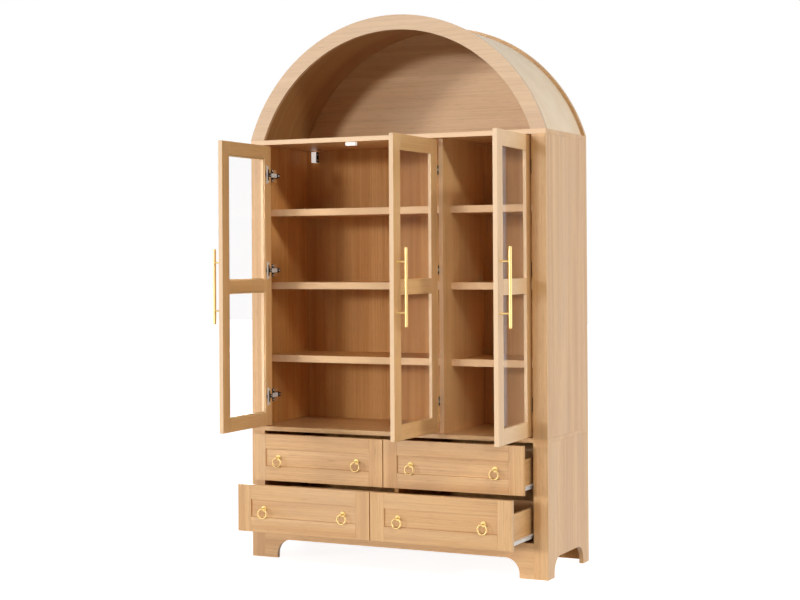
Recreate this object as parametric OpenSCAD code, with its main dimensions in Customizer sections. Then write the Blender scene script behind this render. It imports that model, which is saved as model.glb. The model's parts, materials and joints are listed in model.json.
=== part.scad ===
// Tall display cabinet: two rows of drawers on scalloped feet, three glazed doors over
// shelves, and an open arched compartment on top. The face of the front frame lies at
// the frame plane, the floor at height zero. Doors and drawers are drawn as they stand
// in the rest pose, opened by the values in the Rest pose section.

/* [Cabinet] */
// Overall width of the cabinet
cabinet_w = 1100; // [960:10:1300]
// Depth from the face of the front frame to the back edge of the boards
cabinet_d = 384; // [378:1:440]
// Height of the drawer section up to the underside of the middle board
drawer_section_h = 438; // [420:1:500]
// Height of the door section between the middle board and the top board
door_section_h = 978; // [960:1:1100]
// Rise of the arch above the top board
arch_rise = 403; // [300:1:460]

/* [Boards] */
// Thickness of the side panels
side_t = 15; // [12:0.5:20]
// Width of the front frame stiles
stile_w = 50; // [42:1:70]
// Thickness of the front frame stiles and of the apron
frame_t = 15; // [14:0.5:18]
// Thickness of the board between the drawers and the doors
middle_board_t = 15; // [12:0.5:22]
// Thickness of the board between the doors and the arch
top_board_t = 16; // [12:0.5:22]
// Thickness of the upright divider between the two door compartments
divider_t = 15; // [12:0.5:18]
// Distance of the divider's front edge behind the frame face
divider_setback = 28; // [25:1:60]
// Thickness of the back panels
back_t = 9; // [3:0.5:12]
// Distance of the back panels in front of the boards' back edge
back_inset = 4; // [0:0.5:6]
// Thickness of the shelves
shelf_t = 24; // [15:0.5:30]
// Distance of the shelves' front edge behind the frame face
shelf_setback = 92; // [92:1:160]
// Height of the low shelf's underside above the middle board
low_shelf_h = 219; // [150:1:300]
// Height of the middle shelf's underside above the middle board
mid_shelf_h = 475; // [400:1:560]
// Height of the high shelf's underside above the middle board
high_shelf_h = 732; // [650:1:820]

/* [Feet] */
// Height of the apron under the drawers
apron_h = 115; // [100:1:130]
// Height of the cut-out between the feet
scallop_h = 64; // [56:1:80]
// Radius of the curve at each end of the cut-out
scallop_r = 50; // [20:1:54]
// Width that the apron's feet add beside the stiles
front_foot_w = 50; // [30:1:90]
// Depth of the side feet, from the frame face and from the back
side_foot_d = 56; // [40:1:90]
// Thickness of the panel under the drawers
bottom_panel_t = 12; // [6:0.5:18]
// Distance of that panel's top below the apron's top
bottom_panel_drop = 5; // [2:0.5:15]

/* [Doors] */
// Width of the door stiles and rails
door_member_w = 50; // [44:1:70]
// Gap at the side of each door
door_gap = 2; // [2:0.1:3]
// Gap above the doors
door_top_gap = 4; // [2:0.5:6]
// Gap below the doors
door_bottom_gap = 5; // [2:0.5:6]
// Thickness of the glass panes
glass_t = 4; // [3:0.5:4]
// Width of the rebate that holds the panes
rebate_w = 6; // [4:0.5:8]
// Distance of the end hinges from the top and bottom of the door
hinge_end_offset = 100; // [70:1:140]
// Height of the middle hinge above the middle of the door
hinge_mid_rise = 52; // [-80:1:80]

/* [Door handles] */
// Diameter of the handle bar
bar_d = 10; // [8:0.5:14]
// Length of the handle bar
bar_l = 250; // [200:1:320]
// Distance between the centres of the two posts
post_spacing = 160; // [96:1:192]
// Diameter of the posts
post_d = 6; // [4:0.5:8]
// Distance from the door's face to the middle of the bar
bar_reach = 31; // [26:0.5:36]

/* [Drawers] */
// Gap above, between and below the drawer fronts
drawer_gap = 2.5; // [2:0.1:4]
// Gap at the sides of the drawer fronts
drawer_side_gap = 1.5; // [1:0.1:3]
// Width of the drawer front's frame members
front_member_w = 50; // [35:1:55]
// Depth of the drawer front's recessed panel
panel_recess = 5; // [3:0.5:8]
// Thickness of the drawer box boards
box_board_t = 12; // [9:0.5:15]
// Distance of the box's top below the top of the front
box_drop = 48; // [30:1:70]
// Distance from the back end of the drawer boxes to the back panel
box_back_gap = 26; // [20:1:60]
// Thickness of the drawer bottom
box_bottom_t = 5; // [3:0.5:8]

/* [Ring pulls] */
// Distance between the two ring pulls of a drawer
pull_spacing = 300; // [200:1:360]
// Radius of the ring, to the middle of its wire
ring_r = 15.5; // [14:0.5:18]
// Diameter of the ring's wire
ring_wire_d = 3.6; // [3:0.1:3.8]
// Diameter of the round plate behind the ring
rose_d = 19; // [14:0.5:24]

/* [Arch] */
// Width of the flat arch ring at the front
arch_ring_w = 50; // [40:1:80]
// Thickness of the front ring
arch_ring_t = 15; // [12:0.5:18]
// Thickness of the arched back panel
arch_back_t = 15; // [9:0.5:18]
// Distance of the bent shell's outer face inside the ring's outer edge
shell_recess = 11; // [6:0.5:16]
// Thickness of the bent shell
shell_t = 4; // [3:0.5:8]

/* [Rest pose] */
// Opening angle of the left door
left_door_angle = 88.5; // [85:0.5:96]
// Opening angle of the middle door
middle_door_angle = 90; // [85:0.5:96]
// Opening angle of the right door
right_door_angle = 93.5; // [85:0.5:96]
// Distance that the upper drawers are pulled out
upper_pull_out = 81.5; // [0:0.5:200]
// Distance that the lower drawers are pulled out
lower_pull_out = 179; // [0:0.5:200]

/* [Hidden] */
$fn = 64;

// colours of the plain views
oak = [0.80, 0.62, 0.42];
oak_dark = [0.66, 0.48, 0.30];
cream = [0.88, 0.80, 0.70];
gold = [0.82, 0.66, 0.30];
pane = [0.80, 0.86, 0.88, 0.4];
metal = [0.45, 0.45, 0.47];
white = [0.95, 0.95, 0.95];

// clearances
joint_gap = 0.2;
run_gap = 0.3;

// heights
middle_z = drawer_section_h;
door_floor_z = middle_z + middle_board_t;
door_roof_z = door_floor_z + door_section_h;
arch_floor_z = door_roof_z + top_board_t;

// widths
half_w = cabinet_w / 2;
open_w = cabinet_w - 2 * stile_w;
half_open = open_w / 2;
side_in = half_w - side_t;

// depths
back_y = cabinet_d - back_inset - back_t;

// doors
door_w = (open_w - 4 * door_gap) / 3;
door_t = frame_t;
door_z0 = door_floor_z + door_bottom_gap;
door_z1 = door_roof_z - door_top_gap;
door_mid_z = (door_z0 + door_z1) / 2;
divider_x = half_open - 1.5 * door_gap - door_w;
divider_left = divider_x - divider_t / 2;
pin_edge = 10;
pin_depth = 5;
free_x = door_w - pin_edge;
face_y = -pin_depth;
inner_y = door_t - pin_depth;
glass_y = inner_y - glass_t;
hinge_z = [door_z0 + hinge_end_offset, door_mid_z + hinge_mid_rise, door_z1 - hinge_end_offset];
left_pin_x = -half_open + door_gap + pin_edge;
middle_pin_x = divider_x - door_gap / 2 - pin_edge;
right_pin_x = half_open - door_gap - pin_edge;
cup_r = 17.5;
cup_x = 12.5;
cup_floor = -3;
pin_r = 1.25;
arm_half_z = 5.5;
plate_y0 = 33;
plate_y1 = 85;
packer_y0 = plate_y0 - 5;
packer_y1 = plate_y1 + 6;
side_mount = -door_gap - pin_edge;
divider_mount = -(divider_left - middle_pin_x);

// drawers
front_h = (drawer_section_h - apron_h - 3 * drawer_gap) / 2;
front_x0 = drawer_side_gap;
front_x1 = half_open - drawer_side_gap;
lower_z = apron_h + drawer_gap;
upper_z = lower_z + front_h + drawer_gap;
partition_half = 7.5;
runner_space = 12.5;
box_x0 = partition_half + runner_space;
box_x1 = half_open - runner_space;
box_mid_x = (box_x0 + box_x1) / 2;
box_lift = 12;
box_h = front_h - box_lift - box_drop;
box_y0 = frame_t + joint_gap;
box_y1 = back_y - box_back_gap;
roller_r = 8;
channel_lift = box_lift - 4.6;
channel_h = 26;
runner_y0 = frame_t + 6;
runner_y1 = box_y1 + 1;
pull_x0 = (front_x0 + front_x1 - pull_spacing) / 2;
pull_x1 = pull_x0 + pull_spacing;
eye_y = panel_recess - 14;
eye_r = 4.5;
eye_bore_r = ring_wire_d / 2 + 0.6;
eye_w = 5;

// arch
arch_r = (half_w * half_w + arch_rise * arch_rise) / (2 * arch_rise);
arch_z = arch_floor_z + arch_rise - arch_r;
arch_facets = 360;
ring_inner_r = arch_r - arch_ring_w;
shell_r = arch_r - shell_recess;
arch_back_y = cabinet_d - arch_back_t;

// middle of the whole rest pose, front to back, which becomes the origin
function corner_reach(a, y) = free_x * sin(a) - y * cos(a);
function door_reach(a) = max(corner_reach(a, face_y), corner_reach(a, inner_y)) - pin_depth;
open_reach = max(door_reach(left_door_angle), door_reach(middle_door_angle), door_reach(right_door_angle));
mid_y = (cabinet_d - open_reach) / 2;

// moves a piece from the frame face to the common origin
module home() {
  translate([0, -mid_y, 0]) children();
}

// a board given by its lowest and highest corners
module board(a, b) {
  translate(a) cube([b[0] - a[0], b[1] - a[1], b[2] - a[2]]);
}

// a round bar along X, given by its start, length and radius
module bar_x(p, l, r) {
  translate(p) rotate([0, 90, 0]) cylinder(r = r, h = l);
}

// a round bar along Y, given by its start, length and radius
module bar_y(p, l, r) {
  translate(p) rotate([-90, 0, 0]) cylinder(r = r, h = l);
}

// space between two feet, drawn flat: from a to b, with a curve at each upper end
module scallop(a, b) {
  translate([a, -1]) square([b - a, scallop_h - scallop_r + 1]);
  translate([a + scallop_r, -1]) square([b - a - 2 * scallop_r, scallop_h + 1]);
  translate([a + scallop_r, scallop_h - scallop_r]) circle(r = scallop_r);
  translate([b - scallop_r, scallop_h - scallop_r]) circle(r = scallop_r);
}

// side panel of the drawer section, with the cut-out between its feet
module lower_side(x0) {
  difference() {
    board([x0, frame_t, 0], [x0 + side_t, cabinet_d, middle_z]);
    translate([x0 - 1, 0, 0]) rotate([90, 0, 90]) linear_extrude(side_t + 2)
      scallop(side_foot_d, cabinet_d - side_foot_d);
  }
}

module lower_side_left() {
  color(oak) home() lower_side(-half_w);
}

module lower_side_right() {
  color(oak) home() lower_side(side_in);
}

// upright of the front frame, on the left or the right
module stiles(z0, z1) {
  board([-half_w, 0, z0], [-half_open, frame_t, z1]);
  board([half_open, 0, z0], [half_w, frame_t, z1]);
}

module lower_stiles() {
  color(oak) home() stiles(0, middle_z);
}

module apron() {
  foot = half_open - front_foot_w;
  color(oak) home() difference() {
    board([-half_open, 0, 0], [half_open, frame_t, apron_h]);
    translate([0, frame_t + 1, 0]) rotate([90, 0, 0]) linear_extrude(frame_t + 2) scallop(-foot, foot);
  }
}

module bottom_panel() {
  top = apron_h - bottom_panel_drop;
  color(oak_dark) home() board([-side_in, frame_t, top - bottom_panel_t], [side_in, back_y, top]);
}

module drawer_partition() {
  base = apron_h - bottom_panel_drop;
  color(oak_dark) home() board([-partition_half, frame_t + 5, base], [partition_half, back_y, middle_z]);
}

module lower_back_panel() {
  color(oak_dark) home() board([-side_in, back_y, 6], [side_in, back_y + back_t, middle_z]);
}

module middle_board() {
  color(oak) home() board([-half_w, 0, middle_z], [half_w, cabinet_d, door_floor_z]);
}

module upper_side(x0) {
  board([x0, frame_t, door_floor_z], [x0 + side_t, cabinet_d, door_roof_z]);
}

module upper_side_left() {
  color(oak) home() upper_side(-half_w);
}

module upper_side_right() {
  color(oak) home() upper_side(side_in);
}

module upper_stiles() {
  color(oak) home() stiles(door_floor_z, door_roof_z);
}

module divider() {
  color(oak) home()
    board([divider_left, divider_setback, door_floor_z], [divider_left + divider_t, back_y, door_roof_z]);
}

module upper_back_panel() {
  color(oak_dark) home() board([-side_in, back_y, door_floor_z], [side_in, back_y + back_t, door_roof_z]);
}

// one shelf in the wide compartment and one in the narrow one
module shelf_pair(h) {
  z = door_floor_z + h;
  board([-side_in, shelf_setback, z], [divider_left, back_y, z + shelf_t]);
  board([divider_left + divider_t, shelf_setback, z], [side_in, back_y, z + shelf_t]);
}

module shelves() {
  color(oak) home() {
    shelf_pair(low_shelf_h);
    shelf_pair(mid_shelf_h);
    shelf_pair(high_shelf_h);
  }
}

// blocks that carry hinges and runners flush with the inner edge of the right stile
module right_packers() {
  for (z = hinge_z) {
    board([half_open, packer_y0, z - 22], [side_in, packer_y1, z + 22]);
  }
  for (z = [lower_z, upper_z]) {
    board([half_open, frame_t, z + channel_lift - 2], [side_in, back_y, z + channel_lift + channel_h + 2]);
  }
}

module side_packers() {
  color(oak_dark) home() {
    right_packers();
    mirror([1, 0, 0]) right_packers();
  }
}

module top_board() {
  color(oak) home() board([-half_w, 0, door_roof_z], [half_w, cabinet_d, arch_floor_z]);
}

// solid arch of radius r over the arch floor, from y0 to y1
module arch(r, y0, y1) {
  intersection() {
    bar_y([0, y0, arch_z], y1 - y0, r, $fn = arch_facets);
    board([-half_w - 1, y0 - 1, arch_floor_z], [half_w + 1, y1 + 1, arch_z + arch_r + 1]);
  }
}

// curved board between two radii
module arch_band(r_out, r_in, y0, y1) {
  difference() {
    arch(r_out, y0, y1);
    bar_y([0, y0 - 1, arch_z], y1 - y0 + 2, r_in, $fn = arch_facets);
  }
}

module arch_front_ring() {
  color(oak) home() arch_band(arch_r, ring_inner_r, 0, arch_ring_t);
}

module arch_back_panel() {
  color(oak_dark) home() arch(arch_r, arch_back_y, cabinet_d);
}

module arch_shell() {
  color(cream) home() arch_band(shell_r, shell_r - shell_t, arch_ring_t, arch_back_y);
}

// puts a door, drawn around its hinge pin as when shut, on the left of its opening
module door_left_hung(x, a) {
  home() translate([x, pin_depth, 0]) rotate([0, 0, -a]) children();
}

// the same for a door with its pin at its right edge
module door_right_hung(x, a) {
  home() translate([x, pin_depth, 0]) mirror([1, 0, 0]) rotate([0, 0, -a]) children();
}

// rebate for the pane between two heights
module rebate(z0, z1) {
  board([door_member_w - pin_edge - rebate_w, glass_y, z0 - rebate_w],
        [free_x - door_member_w + rebate_w, inner_y + 1, z1 + rebate_w]);
}

// pane between two heights
module glass_pane(z0, z1) {
  edge = rebate_w - run_gap;
  board([door_member_w - pin_edge - edge, glass_y, z0 - edge],
        [free_x - door_member_w + edge, inner_y, z1 + edge]);
}

// stiles and rails of a door, each a piece of its own
module door_members() {
  rail_x0 = door_member_w - pin_edge + joint_gap;
  rail_x1 = free_x - door_member_w - joint_gap;
  half_rail = door_member_w / 2;
  board([-pin_edge, face_y, door_z0], [door_member_w - pin_edge, inner_y, door_z1]);
  board([free_x - door_member_w, face_y, door_z0], [free_x, inner_y, door_z1]);
  board([rail_x0, face_y, door_z0], [rail_x1, inner_y, door_z0 + door_member_w]);
  board([rail_x0, face_y, door_mid_z - half_rail], [rail_x1, inner_y, door_mid_z + half_rail]);
  board([rail_x0, face_y, door_z1 - door_member_w], [rail_x1, inner_y, door_z1]);
}

module door_frame() {
  half_rail = door_member_w / 2;
  difference() {
    door_members();
    rebate(door_z0 + door_member_w, door_mid_z - half_rail);
    rebate(door_mid_z + half_rail, door_z1 - door_member_w);
    for (z = hinge_z) {
      bar_y([cup_x, cup_floor - 1, z], inner_y - cup_floor + 2, cup_r + joint_gap);
      board([-pin_edge - 1, -3.2, z - arm_half_z - 1], [0, inner_y + 1, z + arm_half_z + 1]);
    }
  }
}

module door_glass() {
  half_rail = door_member_w / 2;
  glass_pane(door_z0 + door_member_w, door_mid_z - half_rail);
  glass_pane(door_mid_z + half_rail, door_z1 - door_member_w);
}

// bar on two posts, standing on the door's outer face
module door_handle() {
  x = free_x - door_member_w / 2;
  translate([x, face_y - bar_reach, door_mid_z - bar_l / 2]) cylinder(r = bar_d / 2, h = bar_l);
  for (z = [door_mid_z - post_spacing / 2, door_mid_z + post_spacing / 2]) {
    bar_y([x, face_y - bar_reach, z], bar_reach, post_d / 2);
  }
}

// sunk hinge cup with its flange and the pin that crosses it
module hinge_cup(z) {
  difference() {
    union() {
      bar_y([cup_x, cup_floor - 0.8, z], inner_y - cup_floor + 1.8, cup_r);
      board([cup_x - 7, inner_y, z - 30], [cup_x + 7, inner_y + 1, z + 30]);
    }
    bar_y([cup_x, cup_floor, z], inner_y - cup_floor + 3, cup_r - 1.2);
    board([-pin_edge, cup_floor, z - arm_half_z - 1], [0, inner_y + 3, z + arm_half_z + 1]);
  }
  translate([0, 0, z - 11.5]) cylinder(r = pin_r, h = 23);
}

module door_hinge_cups() {
  for (z = hinge_z) {
    hinge_cup(z);
  }
}

module left_door_frame() {
  color(oak) door_left_hung(left_pin_x, left_door_angle) door_frame();
}

module left_door_glass() {
  color(pane) door_left_hung(left_pin_x, left_door_angle) door_glass();
}

module left_door_handle() {
  color(gold) door_left_hung(left_pin_x, left_door_angle) door_handle();
}

module left_door_hinge_cups() {
  color(metal) door_left_hung(left_pin_x, left_door_angle) door_hinge_cups();
}

module middle_door_frame() {
  color(oak) door_right_hung(middle_pin_x, middle_door_angle) door_frame();
}

module middle_door_glass() {
  color(pane) door_right_hung(middle_pin_x, middle_door_angle) door_glass();
}

module middle_door_handle() {
  color(gold) door_right_hung(middle_pin_x, middle_door_angle) door_handle();
}

module middle_door_hinge_cups() {
  color(metal) door_right_hung(middle_pin_x, middle_door_angle) door_hinge_cups();
}

module right_door_frame() {
  color(oak) door_right_hung(right_pin_x, right_door_angle) door_frame();
}

module right_door_glass() {
  color(pane) door_right_hung(right_pin_x, right_door_angle) door_glass();
}

module right_door_handle() {
  color(gold) door_right_hung(right_pin_x, right_door_angle) door_handle();
}

module right_door_hinge_cups() {
  color(metal) door_right_hung(right_pin_x, right_door_angle) door_hinge_cups();
}

// arm around the hinge pin; the mount is the distance of its plate from the pin
module hinge_arm(z, mount) {
  difference() {
    union() {
      translate([0, 0, z - arm_half_z]) cylinder(r = 2.6, h = 2 * arm_half_z);
      board([-1.2, 1, z - arm_half_z], [1.2, 26, z + arm_half_z]);
      board([mount + 1, 20, z - 7.5], [mount + 14, plate_y0 + 28, z + 7.5]);
      board([mount, plate_y0, z - 12], [mount + 2, plate_y1, z + 12]);
    }
    translate([0, 0, z - arm_half_z - 1]) cylinder(r = pin_r + 0.25, h = 2 * arm_half_z + 2);
  }
}

module hinge_arms() {
  color(metal) home() for (z = hinge_z) {
    translate([left_pin_x, pin_depth, 0]) hinge_arm(z, side_mount);
    translate([middle_pin_x, pin_depth, 0]) mirror([1, 0, 0]) hinge_arm(z, divider_mount);
    translate([right_pin_x, pin_depth, 0]) mirror([1, 0, 0]) hinge_arm(z, side_mount);
  }
}

// catch under the top board, where the left and the middle door meet
module magnetic_catch() {
  x = -divider_x;
  color(white) home() board([x - 18, frame_t + 0.6, door_roof_z - 12], [x + 18, frame_t + 18, door_roof_z]);
}

// block that fastens the cabinet to the wall, on the back panel
module wall_bracket() {
  x = -side_in + 30;
  z = door_roof_z - 43;
  color(white) home() {
    board([x, back_y - 19, z], [x + 21, back_y, z + 39]);
  }
}

// fixed channel of one drawer runner, with its front roller
module channel(z0) {
  z = z0 + channel_lift;
  web = half_open - 1;
  tip = half_open - 9.5;
  board([web, runner_y0, z], [half_open, runner_y1, z + channel_h]);
  board([tip, runner_y0, z], [web + 0.5, runner_y1, z + 1]);
  board([tip, runner_y0, z + channel_h - 1], [web + 0.5, runner_y1, z + channel_h]);
  bar_x([tip, runner_y0 + 12, z + 1 + run_gap + roller_r], 7, roller_r);
  bar_x([tip + 7, runner_y0 + 12, z + 1 + run_gap + roller_r], 2, 2.5);
}

// both channels of one drawer on the right
module channel_pair(z0) {
  channel(z0);
  translate([2 * box_mid_x, 0, 0]) mirror([1, 0, 0]) channel(z0);
}

module cabinet_runners() {
  color(white) home() for (z = [lower_z, upper_z]) {
    channel_pair(z);
    mirror([1, 0, 0]) channel_pair(z);
  }
}

// moving part of one drawer runner, with its rear roller
module slide(z0) {
  z = z0 + box_lift;
  board([box_x1, runner_y0, z - 1], [box_x1 + 1, box_y1, z + 14]);
  board([box_x1 - 10, runner_y0, z - 1], [box_x1 + 0.5, box_y1, z]);
  board([box_x1 + 0.5, runner_y0, z + 13], [box_x1 + 9.5, box_y1, z + 14]);
  bar_x([box_x1 + 3, box_y1 - 12, z - 3.6 + run_gap + roller_r], 7, roller_r);
  bar_x([box_x1 + 0.5, box_y1 - 12, z - 3.6 + run_gap + roller_r], 3, 2.5);
}

module drawer_runners(z0) {
  slide(z0);
  translate([2 * box_mid_x, 0, 0]) mirror([1, 0, 0]) slide(z0);
}

// framed front with a recessed panel, each member a piece of its own
module drawer_front(z0) {
  m = front_member_w;
  g = joint_gap;
  z1 = z0 + front_h;
  board([front_x0, 0, z0], [front_x0 + m, frame_t, z1]);
  board([front_x1 - m, 0, z0], [front_x1, frame_t, z1]);
  board([front_x0 + m + g, 0, z0], [front_x1 - m - g, frame_t, z0 + m]);
  board([front_x0 + m + g, 0, z1 - m], [front_x1 - m - g, frame_t, z1]);
  board([front_x0 + m + g, panel_recess, z0 + m + g], [front_x1 - m - g, frame_t, z1 - m - g]);
}

// open box behind the front: two sides, inner front, back and bottom
module drawer_box(z0) {
  z = z0 + box_lift;
  in0 = box_x0 + box_board_t + joint_gap;
  in1 = box_x1 - box_board_t - joint_gap;
  front_in = box_y0 + box_board_t;
  back_in = box_y1 - box_board_t;
  board([box_x0, box_y0, z], [box_x0 + box_board_t, box_y1, z + box_h]);
  board([box_x1 - box_board_t, box_y0, z], [box_x1, box_y1, z + box_h]);
  board([in0, box_y0, z], [in1, front_in, z + box_h]);
  board([in0, back_in, z], [in1, box_y1, z + box_h]);
  board([in0, front_in + joint_gap, z + 8], [in1, back_in - joint_gap, z + 8 + box_bottom_t]);
}

// rose, neck and eye of one ring pull
module pull_post(x, z) {
  difference() {
    union() {
      bar_y([x, panel_recess - 2.5, z], 2.5, rose_d / 2);
      bar_y([x, eye_y, z], panel_recess - eye_y, 3);
      bar_x([x - eye_w / 2, eye_y, z], eye_w, eye_r);
    }
    bar_x([x - eye_w, eye_y, z], 2 * eye_w, eye_bore_r);
  }
}

module drawer_posts(z0) {
  pull_post(pull_x0, z0 + front_h / 2);
  pull_post(pull_x1, z0 + front_h / 2);
}

// ring hanging from its eye
module pull_ring(x, z0) {
  translate([x, eye_y, z0 + front_h / 2 - ring_r]) rotate([90, 0, 0])
    rotate_extrude() translate([ring_r, 0]) circle(r = ring_wire_d / 2, $fn = 32);
}

// puts a drawer on the right at the distance that it is pulled out
module right_drawer(pull) {
  home() translate([0, -pull, 0]) children();
}

// the same on the left
module left_drawer(pull) {
  home() translate([0, -pull, 0]) mirror([1, 0, 0]) children();
}

module upper_left_front() {
  color(oak) left_drawer(upper_pull_out) drawer_front(upper_z);
}

module upper_left_box() {
  color(oak_dark) left_drawer(upper_pull_out) drawer_box(upper_z);
}

module upper_left_posts() {
  color(gold) left_drawer(upper_pull_out) drawer_posts(upper_z);
}

module upper_left_runners() {
  color(white) left_drawer(upper_pull_out) drawer_runners(upper_z);
}

module upper_left_ring_a() {
  color(gold) left_drawer(upper_pull_out) pull_ring(pull_x1, upper_z);
}

module upper_left_ring_b() {
  color(gold) left_drawer(upper_pull_out) pull_ring(pull_x0, upper_z);
}

module upper_right_front() {
  color(oak) right_drawer(upper_pull_out) drawer_front(upper_z);
}

module upper_right_box() {
  color(oak_dark) right_drawer(upper_pull_out) drawer_box(upper_z);
}

module upper_right_posts() {
  color(gold) right_drawer(upper_pull_out) drawer_posts(upper_z);
}

module upper_right_runners() {
  color(white) right_drawer(upper_pull_out) drawer_runners(upper_z);
}

module upper_right_ring_a() {
  color(gold) right_drawer(upper_pull_out) pull_ring(pull_x0, upper_z);
}

module upper_right_ring_b() {
  color(gold) right_drawer(upper_pull_out) pull_ring(pull_x1, upper_z);
}

module lower_left_front() {
  color(oak) left_drawer(lower_pull_out) drawer_front(lower_z);
}

module lower_left_box() {
  color(oak_dark) left_drawer(lower_pull_out) drawer_box(lower_z);
}

module lower_left_posts() {
  color(gold) left_drawer(lower_pull_out) drawer_posts(lower_z);
}

module lower_left_runners() {
  color(white) left_drawer(lower_pull_out) drawer_runners(lower_z);
}

module lower_left_ring_a() {
  color(gold) left_drawer(lower_pull_out) pull_ring(pull_x1, lower_z);
}

module lower_left_ring_b() {
  color(gold) left_drawer(lower_pull_out) pull_ring(pull_x0, lower_z);
}

module lower_right_front() {
  color(oak) right_drawer(lower_pull_out) drawer_front(lower_z);
}

module lower_right_box() {
  color(oak_dark) right_drawer(lower_pull_out) drawer_box(lower_z);
}

module lower_right_posts() {
  color(gold) right_drawer(lower_pull_out) drawer_posts(lower_z);
}

module lower_right_runners() {
  color(white) right_drawer(lower_pull_out) drawer_runners(lower_z);
}

module lower_right_ring_a() {
  color(gold) right_drawer(lower_pull_out) pull_ring(pull_x0, lower_z);
}

module lower_right_ring_b() {
  color(gold) right_drawer(lower_pull_out) pull_ring(pull_x1, lower_z);
}

lower_side_left();
lower_side_right();
lower_stiles();
apron();
bottom_panel();
drawer_partition();
lower_back_panel();
middle_board();
upper_side_left();
upper_side_right();
upper_stiles();
divider();
upper_back_panel();
shelves();
side_packers();
top_board();
arch_front_ring();
arch_back_panel();
arch_shell();
left_door_frame();
left_door_glass();
left_door_handle();
left_door_hinge_cups();
middle_door_frame();
middle_door_glass();
middle_door_handle();
middle_door_hinge_cups();
right_door_frame();
right_door_glass();
right_door_handle();
right_door_hinge_cups();
hinge_arms();
magnetic_catch();
wall_bracket();
cabinet_runners();
upper_left_front();
upper_left_box();
upper_left_posts();
upper_left_runners();
upper_left_ring_a();
upper_left_ring_b();
upper_right_front();
upper_right_box();
upper_right_posts();
upper_right_runners();
upper_right_ring_a();
upper_right_ring_b();
lower_left_front();
lower_left_box();
lower_left_posts();
lower_left_runners();
lower_left_ring_a();
lower_left_ring_b();
lower_right_front();
lower_right_box();
lower_right_posts();
lower_right_runners();
lower_right_ring_a();
lower_right_ring_b();
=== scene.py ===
# Tall oak cabinet with an arched top: its finishes, fittings, light and camera, built
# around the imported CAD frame. Lengths are millimetres, measured from the middle of the
# front frame's face at floor height, and are turned to metres in one place.
import json
import math

import bpy
from mathutils import Matrix, Vector


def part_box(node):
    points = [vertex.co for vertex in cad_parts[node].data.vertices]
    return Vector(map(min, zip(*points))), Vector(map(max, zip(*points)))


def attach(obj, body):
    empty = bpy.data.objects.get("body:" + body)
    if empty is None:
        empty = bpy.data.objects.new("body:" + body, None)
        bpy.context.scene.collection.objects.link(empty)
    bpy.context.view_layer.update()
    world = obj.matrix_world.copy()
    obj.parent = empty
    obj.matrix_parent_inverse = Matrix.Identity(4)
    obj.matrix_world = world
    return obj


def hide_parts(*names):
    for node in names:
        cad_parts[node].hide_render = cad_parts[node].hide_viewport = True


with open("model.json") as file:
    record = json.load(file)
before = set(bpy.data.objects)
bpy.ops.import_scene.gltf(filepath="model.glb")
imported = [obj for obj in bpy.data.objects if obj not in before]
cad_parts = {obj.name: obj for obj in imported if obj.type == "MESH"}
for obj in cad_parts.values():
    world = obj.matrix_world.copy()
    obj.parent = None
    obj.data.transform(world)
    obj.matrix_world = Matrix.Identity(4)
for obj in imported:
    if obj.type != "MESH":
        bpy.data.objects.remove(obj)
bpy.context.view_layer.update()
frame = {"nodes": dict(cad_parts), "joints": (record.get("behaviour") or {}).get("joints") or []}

MM = 0.001
IMAGE_W, IMAGE_H = 800, 600
CARCASS = "carcass"

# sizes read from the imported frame, in millimetres
FRONT_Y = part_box("lower_stiles")[0].y / MM
HALF_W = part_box("top_board")[1].x / MM
ARCH_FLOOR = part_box("top_board")[1].z / MM
ARCH_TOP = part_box("arch_front_ring")[1].z / MM
RING_T = (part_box("arch_front_ring")[1].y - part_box("arch_front_ring")[0].y) / MM
BACK_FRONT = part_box("arch_back_panel")[0].y / MM - FRONT_Y
BACK_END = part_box("arch_back_panel")[1].y / MM - FRONT_Y
SHELL_RECESS = ARCH_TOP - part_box("arch_shell")[1].z / MM
ARCH_RISE = ARCH_TOP - ARCH_FLOOR
ARCH_R = (HALF_W**2 + ARCH_RISE**2) / (2 * ARCH_RISE)
ARCH_Z = ARCH_TOP - ARCH_R
# thicknesses and widths of boards that the frame gives no box for
SHELL_T = 4.0
VENEER_T = 0.6
RING_W = 50.0


def at(x, y, z):
    """A place on the cabinet, in millimetres, as a place in the frame, in metres."""
    return Vector((x, y + FRONT_Y, z)) * MM


# materials
def colour(hex_code):
    """An sRGB hex colour as linear red, green, blue and alpha."""
    parts = [int(hex_code[i : i + 2], 16) / 255 for i in (1, 3, 5)]
    linear = [c / 12.92 if c <= 0.04045 else ((c + 0.055) / 1.055) ** 2.4 for c in parts]
    return (*linear, 1.0)


def add(tree, kind, inputs=None, **settings):
    """Adds one node, with its settings, and with its inputs set or linked."""
    node = tree.nodes.new(kind)
    for name, value in settings.items():
        setattr(node, name, value)
    for name, value in (inputs or {}).items():
        if isinstance(value, bpy.types.NodeSocket):
            tree.links.new(value, node.inputs[name])
        else:
            node.inputs[name].default_value = value
    return node


def new_material(name):
    """An empty node material and its output node."""
    material = bpy.data.materials.new(name)
    material.use_nodes = True
    tree = material.node_tree
    tree.nodes.clear()
    return material, tree, tree.nodes.new("ShaderNodeOutputMaterial")


def ramp(tree, factor, stops):
    """A colour ramp with the given positions and colours."""
    node = add(tree, "ShaderNodeValToRGB", {"Fac": factor})
    elements = node.color_ramp.elements
    while len(elements) < len(stops):
        elements.new(0.5)
    for element, (position, value) in zip(elements, stops):
        element.position = position
        element.color = value
    return node.outputs["Color"]


def grey(value):
    """A linear grey."""
    return (value, value, value, 1.0)


def blend_colour(tree, kind, factor, first, second):
    """Mixes two colours and returns the mixed colour."""
    node = add(tree, "ShaderNodeMix", data_type="RGBA", blend_type=kind)
    for socket, value in ((node.inputs[0], factor), (node.inputs[6], first), (node.inputs[7], second)):
        if isinstance(value, bpy.types.NodeSocket):
            tree.links.new(value, socket)
        else:
            socket.default_value = value
    return node.outputs[2]


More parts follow.
